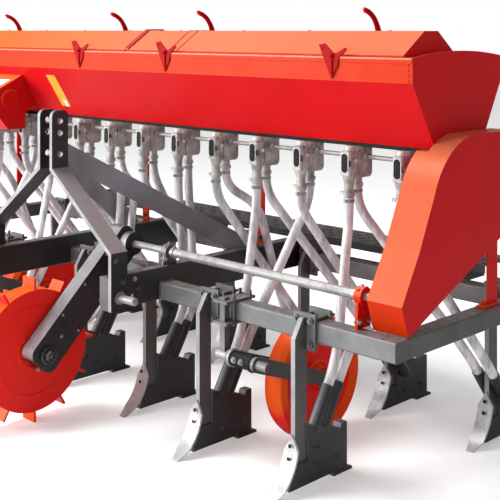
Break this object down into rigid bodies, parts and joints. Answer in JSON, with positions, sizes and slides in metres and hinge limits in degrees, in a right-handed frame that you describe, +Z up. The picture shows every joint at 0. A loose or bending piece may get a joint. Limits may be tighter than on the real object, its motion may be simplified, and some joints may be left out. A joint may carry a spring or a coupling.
{
  "type": "tractor-mounted seed and fertiliser drill",
  "caption": "Tractor-mounted seed and fertiliser drill: long two-part hopper with hinged lids, metering units and tubes down to tined boots, driven by a lugged ground wheel.",
  "frame": {"origin": "on the ground, below the middle of the machine's outer box", "axes": "+X along the machine to the end with the chain cover, -Y forward to the tractor, +Z up"},
  "size_m": [2.96, 1.642, 1.556],
  "materials": {
    "hopper_paint": "glossy red paint",
    "wheel_paint": "semi-gloss red-orange paint, worn on the rim and lugs",
    "frame_paint": "satin gunmetal grey paint",
    "hitch_paint": "satin near-black paint",
    "boot_paint": "satin dark grey paint, scuffed at the foot",
    "board_paint": "matt black paint with a tread",
    "shovel_steel": "bright ground steel",
    "shaft_steel": "zinc-plated steel",
    "casting": "as-cast aluminium",
    "tube_plastic": "milky flexible tube"
  },
  "bodies": {
    "frame": {"back_brace_left": "hitch_paint", "back_brace_right": "hitch_paint", "centre_beam": "hitch_paint", "chain_cover": "hopper_paint", "depth_bracket_left": "frame_paint", "depth_bracket_right": "frame_paint", "end_beam_left": "frame_paint", "end_beam_right": "frame_paint", "end_post_left": "hopper_paint", "end_post_right": "hopper_paint", "footboard": "board_paint", "footboard_stays": "board_paint", "front_beam_left": "frame_paint", "front_beam_right": "frame_paint", "front_boots": "boot_paint", "front_clamps": "frame_paint", "front_outlet_tubes": "tube_plastic", "front_shanks": "frame_paint", "front_shovels": "shovel_steel", "hitch_member_left": "hitch_paint", "hitch_member_right": "hitch_paint", "hopper_decks": "hopper_paint", "hopper_end_left": "hopper_paint", "hopper_end_right": "hopper_paint", "hopper_floor": "hopper_paint", "hopper_front": "hopper_paint", "hopper_partition": "hopper_paint", "hopper_rear": "hopper_paint", "inner_bearing": "frame_paint", "inner_post_left": "hopper_paint", "inner_post_right": "hopper_paint", "lid_catches": "hopper_paint", "lower_pin_left": "shaft_steel", "lower_pin_right": "shaft_steel", "mast_bar_left": "hitch_paint", "mast_bar_right": "hitch_paint", "metering_units": "casting", "outer_bearing": "hopper_paint", "rate_gearbox": "hopper_paint", "rate_lever": "shaft_steel", "rear_beam": "frame_paint", "rear_boots": "boot_paint", "rear_clamps": "frame_paint", "rear_outlet_tubes": "tube_plastic", "rear_shanks": "frame_paint", "rear_shovels": "shovel_steel"},
    "ground_arm": {"wheel_arm": "frame_paint"},
    "ground_wheel": {"ground_wheel": "wheel_paint"},
    "drive_shaft": {"drive_shaft": "shaft_steel"},
    "metering_shaft": {"metering_shaft": "shaft_steel"},
    "depth_wheel_right": {"depth_wheel_right": "wheel_paint"},
    "depth_wheel_left": {"depth_wheel_left": "wheel_paint"},
    "front_lid_right": {"front_lid_right": "hopper_paint"},
    "front_lid_left": {"front_lid_left": "hopper_paint"},
    "rear_lid_right": {"rear_lid_right": "hopper_paint"},
    "rear_lid_left": {"rear_lid_left": "hopper_paint"}
  },
  "joints": [
    {"name": "arm_swing", "type": "hinge", "parent": "frame", "child": "ground_arm", "pos_m": [0.088, -0.175, 0.635], "axis": [-1, 0, 0], "range_deg": [-8, 20]},
    {"name": "ground_wheel_spin", "type": "hinge", "parent": "ground_arm", "child": "ground_wheel", "pos_m": [0, -0.551, 0.27], "axis": [1, 0, 0], "continuous": true},
    {"name": "drive_shaft_spin", "type": "hinge", "parent": "frame", "child": "drive_shaft", "pos_m": [0.7, -0.175, 0.635], "axis": [1, 0, 0], "continuous": true},
    {"name": "metering_shaft_spin", "type": "hinge", "parent": "frame", "child": "metering_shaft", "pos_m": [0, 0.112, 1.032], "axis": [1, 0, 0], "continuous": true},
    {"name": "depth_wheel_right_spin", "type": "hinge", "parent": "frame", "child": "depth_wheel_right", "pos_m": [0.864, 0.09, 0.22], "axis": [1, 0, 0], "continuous": true},
    {"name": "depth_wheel_left_spin", "type": "hinge", "parent": "frame", "child": "depth_wheel_left", "pos_m": [-0.864, 0.09, 0.22], "axis": [1, 0, 0], "continuous": true},
    {"name": "front_lid_right_open", "type": "hinge", "parent": "frame", "child": "front_lid_right", "pos_m": [0.63, 0.308, 1.3915], "axis": [-1, 0, 0], "range_deg": [0, 90]},
    {"name": "front_lid_left_open", "type": "hinge", "parent": "frame", "child": "front_lid_left", "pos_m": [-0.72, 0.308, 1.3915], "axis": [-1, 0, 0], "range_deg": [0, 90]},
    {"name": "rear_lid_right_open", "type": "hinge", "parent": "frame", "child": "rear_lid_right", "pos_m": [0.63, 0.492, 1.3915], "axis": [-1, 0, 0], "range_deg": [0, 100]},
    {"name": "rear_lid_left_open", "type": "hinge", "parent": "frame", "child": "rear_lid_left", "pos_m": [-0.72, 0.492, 1.3915], "axis": [-1, 0, 0], "range_deg": [0, 100]}
  ],
  "couplings": [
    {"joint": "drive_shaft_spin", "follows": "ground_wheel_spin", "ratio": 1},
    {"joint": "metering_shaft_spin", "follows": "ground_wheel_spin", "ratio": 0.5}
  ]
}
